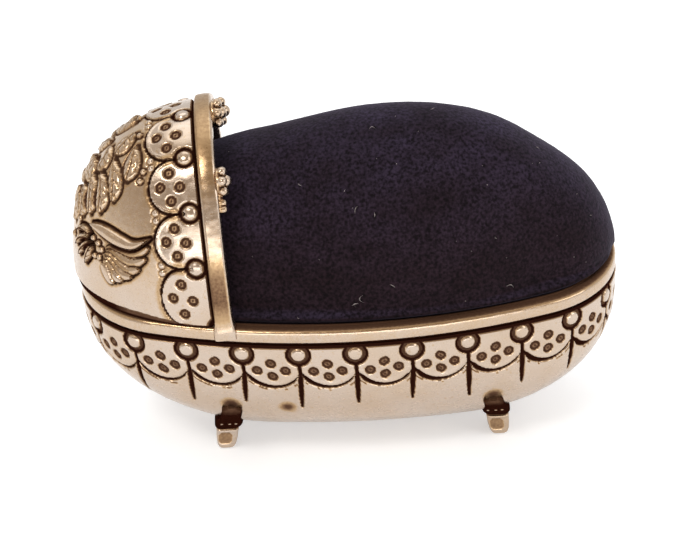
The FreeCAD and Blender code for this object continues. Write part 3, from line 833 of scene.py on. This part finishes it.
BERRIES = [(12.2, 0.752), (11.5, 0.775), (11.1, 0.8), (11.6, 0.822), (12.3, 0.812),
           (16.9, 0.64), (14.6, 0.64), (5.3, 0.64), (5.7, 0.66), (5.4, 0.54)]


def spray(relief, chart):
    """Leaves, a ribbed fan and a smooth crescent that spring from the side of the hood."""
    for places in UPPER_LEAVES:
        leaf(relief, chart, places, 0.84, 0.36, veins=4, shade=0.62)
    for places in PLUMES:
        leaf(relief, chart, places, 0.78, 0.45, veins=5, shade=0.66)
    for places in FAN:
        leaf(relief, chart, places, 0.56, 0.36, edge=0.08, taper=0.35, shade=0.7)
    leaf(relief, chart, CRESCENT, 0.66, 0.6)
    for places in PETALS:
        leaf(relief, chart, places, 0.42, 0.5, veins=3)
    for place in BERRIES:
        boss(relief, chart, place, 0.3, 0.3)


LOBE_REACH = 4.9
LOBE_END = 2.5           # how long the rounded end of a lobe is
LOBE_DOTS = ((0.1, 1.8), (-1.3, 2.75), (1.3, 2.75), (-0.1, 3.7))


def lobes(relief, back, across, length):
    """Lobes with dots behind the arch, with a bead and two granules between each pair."""
    ends = [0.0] + BEADS + [1.0]
    for left, right in zip(ends, ends[1:]):
        middle = (left + right) / 2
        half = (right - left) * length[0, 0] / 2 - 0.08
        aside = (across - middle) * length
        start = LOBE_REACH - LOBE_END
        edge = np.where(back < start, np.abs(aside) - half,
                        np.hypot(aside * LOBE_END / half, back - start) - LOBE_END)
        relief.groove(np.where(back > 1.5, np.abs(edge), FAR), 0.13, 0.26, 0.9)
        relief.ridge(np.abs(edge + 0.27), 0.17, 0.13)
        shadow = np.clip(1 - np.abs(edge - 0.3) / 0.5, 0, 1) * (edge > 0)
        relief.dark = np.maximum(relief.dark, 0.3 * shadow)
        relief.raised = np.where(edge < -0.2, np.maximum(relief.raised, 0.08), relief.raised)
        for shift, drop in LOBE_DOTS:
            relief.punched_dot(np.hypot(aside - shift * half / 2.6, back - drop), 0.5, 0.32)
    for place in BEADS:
        aside = (across - place) * length
        relief.bead(np.hypot(aside, back - 1.15), 0.68, 1.04, 0.26)
        for side in (-1, 1):
            granule = np.hypot(aside - side * 0.38, back - 4.45)
            relief.groove(granule, 0.55, 0.1, 0.5)
            relief.clean(granule, 0.3)
            relief.ridge(granule, 0.34, 0.28)
    relief.groove(back, 0.3, 0.4)
    relief.ridge(np.abs(back - 0.58), 0.18, 0.08)


# ---- feet

FOOT_X = {"hood": box_mm("foot_hood_left"), "open": box_mm("foot_open_left")}
FOOT_SPREAD = 6.9
STRAPS = {"hood": (0.6, 7.0), "open": (-0.6, 6.2)}      # how far each leans and reaches up
FOOT_ROWS = 90
FOOT_COLUMNS = 96
KNEE = 3.9               # how high the three small beads are
KNEE_BEADS = (-0.6, 0.0, 0.75)

# Foot from the floor up: height, inner and outer reach from its standing line, width.
FOOT_SECTIONS = [
    (0.0, -0.60, 0.75, 0.9), (0.06, -0.80, 0.98, 1.3), (0.25, -0.93, 1.15, 1.65),
    (0.6, -0.98, 1.22, 1.94), (1.3, -0.98, 1.24, 2.15), (1.85, -0.85, 1.2, 2.2),
    (2.1, -0.72, 1.24, 2.2), (2.2, -0.66, 1.3, 2.24), (2.3, -0.62, 1.26, 2.2),
    (2.4, -0.58, 1.1, 2.1), (2.6, -0.6, 1.3, 2.45), (2.9, -0.6, 1.6, 2.65), (3.3, -0.5, 1.95, 2.75),
    (3.75, -0.3, 2.25, 2.75), (4.1, -0.1, 2.5, 2.6), (4.4, 0.1, 2.98, 2.15), (5.0, 0.5, 3.58, 2.0),
    (5.6, 0.9, 4.06, 2.0), (6.2, 1.8, 4.38, 1.95), (6.6, 2.6, 4.52, 1.9), (7.0, 3.4, 4.5, 1.8)]


def rounded_square(count):
    """Evenly spaced points round a square of half-width one with rounded corners."""
    angle = np.linspace(0, 2 * np.pi, 4001)
    sideways, outwards = (np.sign(reach) * np.abs(reach) ** 0.42
                          for reach in (np.sin(angle), np.cos(angle)))
    run = np.concatenate([[0], np.cumsum(np.hypot(np.diff(sideways), np.diff(outwards)))])
    even = np.linspace(0, run[-1], count, endpoint=False)
    return np.interp(even, run, sideways), np.interp(even, run, outwards)


def make_foot(name, middle, hand, splay, top):
    """Cast foot: a strap and beaded knee under the tub, painted dark for oxide and for the shade under
    the tub, a collar and a clean toe.
    """
    heights, inner, outer, width = np.array(FOOT_SECTIONS).T
    share = np.linspace(0, 1, FOOT_ROWS)
    height = top * (0.55 * share + 0.45 * share ** 1.4)
    inner, outer, width = (np.interp(height, heights, side) for side in (inner, outer, width))
    width = width * np.sqrt(np.clip((top - height) / 0.45, 0.15, 1))
    sideways, outwards = rounded_square(FOOT_COLUMNS)
    x = width[:, None] / 2 * sideways
    y = ((outer + inner)[:, None] + (outer - inner)[:, None] * outwards) / 2
    z = np.broadcast_to(height[:, None], x.shape)
    front = np.broadcast_to(outwards[None, :] > 0.9, x.shape)
    relief = Relief(x.shape)
    # Dark from the collar up, a little lighter near the top: oxide, and painted shade on the strap and
    # knee under the tub.
    relief.dark = np.interp(z, (2.32, 2.46, top - 1.3, top - 0.5, top), (0, 1, 1, 0.72, 0.5))
    for place in KNEE_BEADS:
        bead = np.where(front, np.hypot(x - place, z - KNEE), FAR)
        relief.clean(bead, 0.13)
        relief.ridge(bead, 0.26, 0.14)
    panel = np.maximum(np.abs(x - 0.2) - 0.4, 0) + np.maximum(np.abs(z - 1.32) - 0.35, 0)
    relief.groove(np.where(front, panel, FAR), 0.34, 0.1, 0.38)
    surface = np.stack([x, y, z], -1)
    normals = grid_normals(surface, True)
    surface = relief.laid_on(surface, np.sign(normals[10, 0, 1]) * normals)
    surface[..., 2] = np.clip(surface[..., 2], 0, None)
    shift = splay * np.interp(height, (0, 2.3, 5.8), (-0.36, 0.0, 1.0))[:, None]
    points = np.stack([middle + surface[..., 0] * hand + shift,
                       hand * (FOOT_SPREAD + surface[..., 1]), surface[..., 2]], -1)
    faces = tube_faces(FOOT_ROWS, FOOT_COLUMNS)
    return new_piece(name, points, faces, cast, relief.dark, sharp=50)


# ---- rosettes

def remeshed(name, work, size):
    """Points and quads of a closed mesh remade in voxels, still in millimetres."""
    mesh = bpy.data.meshes.new(name)
    work.to_mesh(mesh)
    work.free()
    piece = add_object(name, mesh)
    remesh = piece.modifiers.new("remesh", "REMESH")
    remesh.mode = "VOXEL"
    remesh.voxel_size = size
    result = evaluated(piece).data
    points = vertex_vectors(result)
    faces = [list(polygon.vertices) for polygon in result.polygons]
    bpy.data.objects.remove(piece)
    bpy.data.meshes.remove(mesh)
    return points, faces


def make_rosette(name, side):
    """Granules fused on a small plate; a side rosette trails two more down the arch."""
    turn = math.radians(38) * side
    wide, high = ARCH_HALF_WIDTH - 1.0, ARCH_HEIGHT - 1.0
    balls = [(0.6, 0.75, 0.0, 0.0)]
    for step in range(6):
        angle = step * math.pi / 3
        balls.append((0.46, 0.51, 1.05 * math.sin(angle), 1.05 * math.cos(angle)))
    discs = [(1.3, 0.0, 0.0)]
    if side:
        tangent = math.atan2(side * wide * math.cos(turn), -high * abs(math.sin(turn)))
        for reach in (1.45, 2.05, 2.65):
            across, up = reach * math.sin(tangent), reach * math.cos(tangent)
            discs.append((0.34, across, up))
            if reach > 2:
                balls.append((0.34, 0.39, across, up))
    work = bmesh.new()
    for radius, ahead, across, up in balls:
        bmesh.ops.create_icosphere(work, subdivisions=4, radius=radius,
                                   matrix=Matrix.Translation((ahead, across, up)))
    for radius, across, up in discs:
        facing = Matrix.Translation((0.15, across, up)) @ Matrix.Rotation(math.pi / 2, 4, "Y")
        bmesh.ops.create_cone(work, cap_ends=True, segments=48, radius1=radius, radius2=radius,
                              depth=0.4, matrix=facing)
    points, faces = remeshed(name, work, 0.07)
    gaps = np.array([np.linalg.norm(points - np.array(place[1:]), axis=1) - place[0]
                     for place in balls])
    gaps.sort(axis=0)
    valley = np.clip(1 - (gaps[1] - gaps[0]) / 0.2, 0, 1) + np.clip(gaps[0] / 0.12, 0, 1)
    ahead, across, up = points.T
    valley = np.clip(valley, 0, 1) * np.clip(ahead / 0.4, 0.1, 1) + 0.1
    placed = leaning(-ahead, wide * math.sin(turn) + across, high * math.cos(turn) + up)
    return new_piece(name, placed, faces, cast, valley * 0.85)


# ---- pad: its dome, cover, lint and filling

PAD_BOTTOM = box_mm("velvet_cover")[0].z
PAD_PEAK = 4.5
PAD_HEIGHT = 16.1
PAD_FRONT, PAD_FRONT_CURVE = 21.7, 2.0
PAD_BACK, PAD_BACK_CURVE = 28.8, 1.95
PAD_HALF_WIDTH, PAD_WIDTH_CURVE = 11.4, 1.75
PAD_END_SHARE = 0.7
PAD_INSET = RIM_WIDTH + 0.05
LIP_COVER = 0.6          # how far the velvet bulges over the rim's inner lip
PAD_LUMPS = ((-5.5, 4.5, -0.35), (8.5, 6.5, 0.32), (19.5, 4.0, -0.4))    # place, reach, height
CLOTH_SCALE = 0.01       # the cloth is simulated at ten times its real size
SLACK = 0.15             # how much smaller the pad is before it is stuffed
SWELL_CAP = 0.55
HELD_REACH = 1.2         # the cover is held at the rim and less and less up to here above it
CLOTH_FRAMES = 20
CLOTH = {"quality": 6, "mass": 0.3, "tension_stiffness": 18, "compression_stiffness": 18,
         "shear_stiffness": 10, "bending_stiffness": 1.0, "use_pressure": True,
         "uniform_pressure_force": 4, "vertex_group_mass": "held"}


def dome_ring(level, skin, turn):
    """Ring of the pad's dome at a share of its height."""
    front = (PAD_FRONT - skin) * fullness(level, PAD_FRONT_CURVE)
    back = (PAD_BACK - skin) * fullness(level, PAD_BACK_CURVE)
    short = (PAD_HALF_WIDTH - skin) * fullness(level, PAD_WIDTH_CURVE)
    height = RIM_TOP + level * (PAD_HEIGHT - skin)
    return level_ring(PAD_PEAK, front, back, short, PAD_END_SHARE * short, height, turn)


def pad_form(skin, bottom):
    """Closed form of the pad: flat underside, upright side and dome, drawn in by a skin."""
    turn = np.arange(160) / 160
    sides = [rim_ring(PAD_INSET + skin, height, turn)
             for height in np.linspace(bottom, RIM_TOP - 0.2, 5)]
    levels = 0.05 + 0.945 * np.sin(np.linspace(0, np.pi / 2, 40))
    rings = np.array(sides + [dome_ring(level, skin, turn) for level in levels])
    work = bmesh.new()
    points = [work.verts.new(point) for point in rings.reshape(-1, 3)]
    for face in tube_faces(len(rings), len(turn)):
        work.faces.new([points[corner] for corner in face])
    bmesh.ops.recalc_face_normals(work, faces=work.faces)
    return work


def swell(points, faces):
    """Stuff the slack cover: a cloth simulation under pressure, held along the rim."""
    mesh = bpy.data.meshes.new("cover_cloth")
    mesh.from_pydata((points * CLOTH_SCALE).tolist(), [], faces)
    cover = add_object("cover_cloth", mesh)
    held = np.clip((RIM_TOP + HELD_REACH - points[:, 2]) / HELD_REACH, 0, 1)
    pins = cover.vertex_groups.new(name="held")
    for index in np.nonzero(held > 0)[0]:
        pins.add([int(index)], float(held[index]), "REPLACE")
    cloth = cover.modifiers.new("cloth", "CLOTH")
    for setting, value in CLOTH.items():
        setattr(cloth.settings, setting, value)
    cloth.settings.effector_weights.gravity = 0
    cloth.point_cache.frame_start = 1
    cloth.point_cache.frame_end = CLOTH_FRAMES
    for step in range(1, CLOTH_FRAMES + 1):
        scene.frame_set(step)
    moved = vertex_vectors(evaluated(cover).data) / CLOTH_SCALE
    bpy.data.objects.remove(cover)
    bpy.data.meshes.remove(mesh)
    scene.frame_set(1)
    shift = moved - points
    length = np.linalg.norm(shift, axis=1, keepdims=True)
    print("pad swelled by up to", round(float(length.max()), 3), "mm")
    return points + shift * np.minimum(1, SWELL_CAP / np.maximum(length, 1e-6))


def fractal(points, size, seed):
    """Smooth noise of a size in millimetres at points in millimetres, about -1 to 1."""
    offset = Vector((seed, seed * 0.7, -seed))
    return np.array([noise.noise(Vector(point) / size + offset) for point in points])


def make_cover():
    """Velvet drawn tight over the filling, its pile standing in tiny tufts."""
    points, faces = remeshed("cover_form", pad_form(SLACK, PAD_BOTTOM), 0.9)
    points = swell(points, faces)
    piece = new_piece("velvet_pad", points, faces, velvet)
    smooth = piece.modifiers.new("finer", "SUBSURF")
    smooth.levels = smooth.render_levels = 2
    finer = bpy.data.meshes.new_from_object(evaluated(piece))
    piece.modifiers.clear()
    piece.data = finer
    points, normals = vertex_vectors(finer) / MM, vertex_vectors(finer, "normal")
    tufts = 0.012 * fractal(points, 0.5, 3.1) + 0.025 * fractal(points, 2.4, 8.3)
    tufts += 0.1 * fractal(points, 6.5, 5.7)
    for middle, reach, height in PAD_LUMPS:
        tufts += height * np.exp(-((points[:, 0] - middle) / reach) ** 2)
    above = np.clip((points[:, 2] - RIM_TOP) / 1.0, 0, 1)
    lip = LIP_COVER * np.exp(-((points[:, 2] - RIM_TOP - 0.4) / 0.35) ** 2)
    flat = normals * (1, 1, 0)
    lip = lip * (0.35 + 0.65 * np.abs(normals[:, 1]))
    points = points + normals * (tufts * above)[:, None] + flat * lip[:, None]
    move_vertices(finer, points)
    return piece, points[above > 0.5], normals[above > 0.5]


FIBRES = 110
FIBRE_RINGS = 7


def make_lint(points, normals):
    """Pale lint caught in the pile: specks and short curved fibres."""
    draw = np.random.default_rng(11)
    rings, faces = [], []
    around = np.linspace(0, 2 * np.pi, 6, endpoint=False)
    for index in range(FIBRES):
        start = draw.integers(len(points))
        normal = normals[start]
        tangent = np.cross(normal, draw.normal(size=3))
        tangent = tangent / np.linalg.norm(tangent)
        across = np.cross(normal, tangent)
        length = 0.05 + 0.85 * draw.random() ** 4 if index else 1.4
        radius = 0.012 + 0.012 * draw.random()
        bend = draw.normal() * 0.9
        first = len(rings) * len(around)
        for share in np.linspace(0, 1, FIBRE_RINGS):
            spine = (points[start] + normal * (0.05 + 0.06 * math.sin(math.pi * share))
                     + tangent * length * (share - 0.5)
                     + across * bend * length * (share - 0.5) ** 2)
            thick = radius * (0.35 + 0.65 * math.sin(math.pi * min(max(share, 0.05), 0.95)))
            rings.append(spine + thick * (np.cos(around)[:, None] * normal
                                          + np.sin(around)[:, None] * across))
        faces += tube_faces(FIBRE_RINGS, len(around), first)
    return new_piece("pale_lint", np.array(rings), faces, lint)


def make_filling():
    """Packed wool that fills the cover."""
    points, faces = remeshed("filling_form", pad_form(0.9, PAD_BOTTOM + 1.75), 0.55)
    piece = new_piece("wool_filling", points, faces, wool)
    normals = vertex_vectors(piece.data, "normal")
    lumps = 0.16 * fractal(points, 1.6, 2.2) + 0.1 * fractal(points, 0.7, 6.4) - 0.2
    points = points + normals * lumps[:, None]
    points[:, 2] = np.maximum(points[:, 2], PAD_BOTTOM + 1.7)
    move_vertices(piece.data, points)
    return piece


# ---- stage

def make_floor():
    mesh = bpy.data.meshes.new("floor")
    reach = 3.0
    corners = [(-reach, -reach, 0), (reach, -reach, 0), (reach, reach, 0), (-reach, reach, 0)]
    mesh.from_pydata(corners, [], [(0, 1, 2, 3)])
    floor = add_object("floor", mesh)
    material, tree, shader = new_material("pale_floor", {
        "Roughness": 0.8, "Emission Color": (0.9, 0.95, 1.0, 1), "Emission Strength": 0.36})
    feed(shader, {"Base Color": ramp_node(tree, noise_node(tree, 40.0, 2.0),
                                          [(0.3, (0.86, 0.88, 0.91)), (0.7, (0.89, 0.91, 0.94))])})
    mesh.materials.append(material)
    floor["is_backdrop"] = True


def area_light(name, place, size, power, colour=(1, 1, 1), aim=(0, 0, 0.015)):
    light = bpy.data.lights.new(name, "AREA")
    light.shape = "RECTANGLE"
    light.size, light.size_y = size
    light.energy = power
    light.color = colour
    lamp = add_object(name, light)
    lamp.location = place
    lamp.rotation_euler = (Vector(aim) - Vector(place)).to_track_quat("-Z", "Y").to_euler()


def make_lights():
    """Pale studio all round, darker and warmer towards the room above and in front."""
    world = bpy.data.worlds.new("studio")
    world.use_nodes = True
    tree = world.node_tree
    background = tree.nodes["Background"]
    direction = tree.nodes.new("ShaderNodeTexCoord")
    facing = tree.nodes.new("ShaderNodeVectorMath")
    facing.operation = "DOT_PRODUCT"
    facing.inputs[1].default_value = Vector((-0.15, -0.65, 0.75)).normalized()
    tree.links.new(direction.outputs["Generated"], facing.inputs[0])
    room = ramp_node(tree, facing.outputs["Value"],
                     [(0.05, (1.0, 1.0, 1.0)), (0.55, (0.78, 0.71, 0.63)), (0.95, (0.50, 0.41, 0.32))])
    tree.links.new(room, background.inputs["Color"])
    background.inputs["Strength"].default_value = 1.0
    scene.world = world
    area_light("key", (-0.25, -0.30, 0.55), (0.22, 0.16), 1.1, (1.0, 0.98, 0.95))
    area_light("fill", (0.5, -0.25, 0.35), (0.3, 0.3), 0.6, (0.95, 0.98, 1.0))
    area_light("top", (0.0, 0.25, 0.6), (0.6, 0.4), 1.0, (0.90, 0.96, 1.0))
    area_light("low_front", (0.0, -0.6, 0.12), (0.8, 0.16), 1.2, (0.95, 0.98, 1.0), (0, 0, 0))
    scene.view_settings.view_transform = "Standard"


CAMERA_AIM = (-0.63, 0.0, 14.92)
CAMERA_DISTANCE = 300.0
CAMERA_AZIMUTH = math.radians(0.929)
CAMERA_ELEVATION = math.radians(31.61)
CAMERA_ROLL = math.radians(-2.52)
CAMERA_LENS = 162.9


def make_camera():
    lens = bpy.data.cameras.new("camera")
    lens.lens = CAMERA_LENS
    lens.sensor_width = 36.0
    lens.clip_start = 0.01
    lens.clip_end = 20.0
    camera = add_object("camera", lens)
    tilt = math.pi / 2 - CAMERA_ELEVATION
    camera.matrix_world = (Matrix.Translation(Vector(CAMERA_AIM) * MM)
                           @ Matrix.Rotation(-CAMERA_AZIMUTH, 4, "Z")
                           @ Matrix.Rotation(tilt, 4, "X") @ Matrix.Rotation(CAMERA_ROLL, 4, "Z")
                           @ Matrix.Translation((0, 0, CAMERA_DISTANCE * MM)))
    scene.camera = camera


# ---- assembly

def place(piece, node, slot):
    """Put a piece on the part in place of a CAD node."""
    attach(piece, "root")
    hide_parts(node)


make_camera()
make_lights()
make_floor()
place(make_tub(), "tub_shell", "chased_silver")
place(make_frame(), "cradle_frame", "plain_silver")
place(make_hood(), "hood_shell", "chased_silver")
cover, cover_points, cover_normals = make_cover()
place(cover, "velvet_cover", "velvet")
lint_piece = make_lint(cover_points, cover_normals)
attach(lint_piece, "root")
filling = make_filling()
place(filling, "stuffing", "filling")

for end, (low, high) in FOOT_X.items():
    for hand, side in ((1, "left"), (-1, "right")):
        foot = make_foot(f"cast_foot_{end}_{side}", (low.x + high.x) / 2, hand, *STRAPS[end])
        place(foot, f"foot_{end}_{side}", "cast_silver")
for side, name in ((0, "top"), (1, "left"), (-1, "right")):
    place(make_rosette(f"granule_rosette_{name}", side), f"rosette_{name}", "cast_silver")

FINISHES = {"base_board": card, "gathering_thread": thread, "adhesive_bead": glue}
for name, material in FINISHES.items():
    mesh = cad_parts[name].data
    mesh.materials.clear()
    mesh.materials.append(material)

low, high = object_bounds()
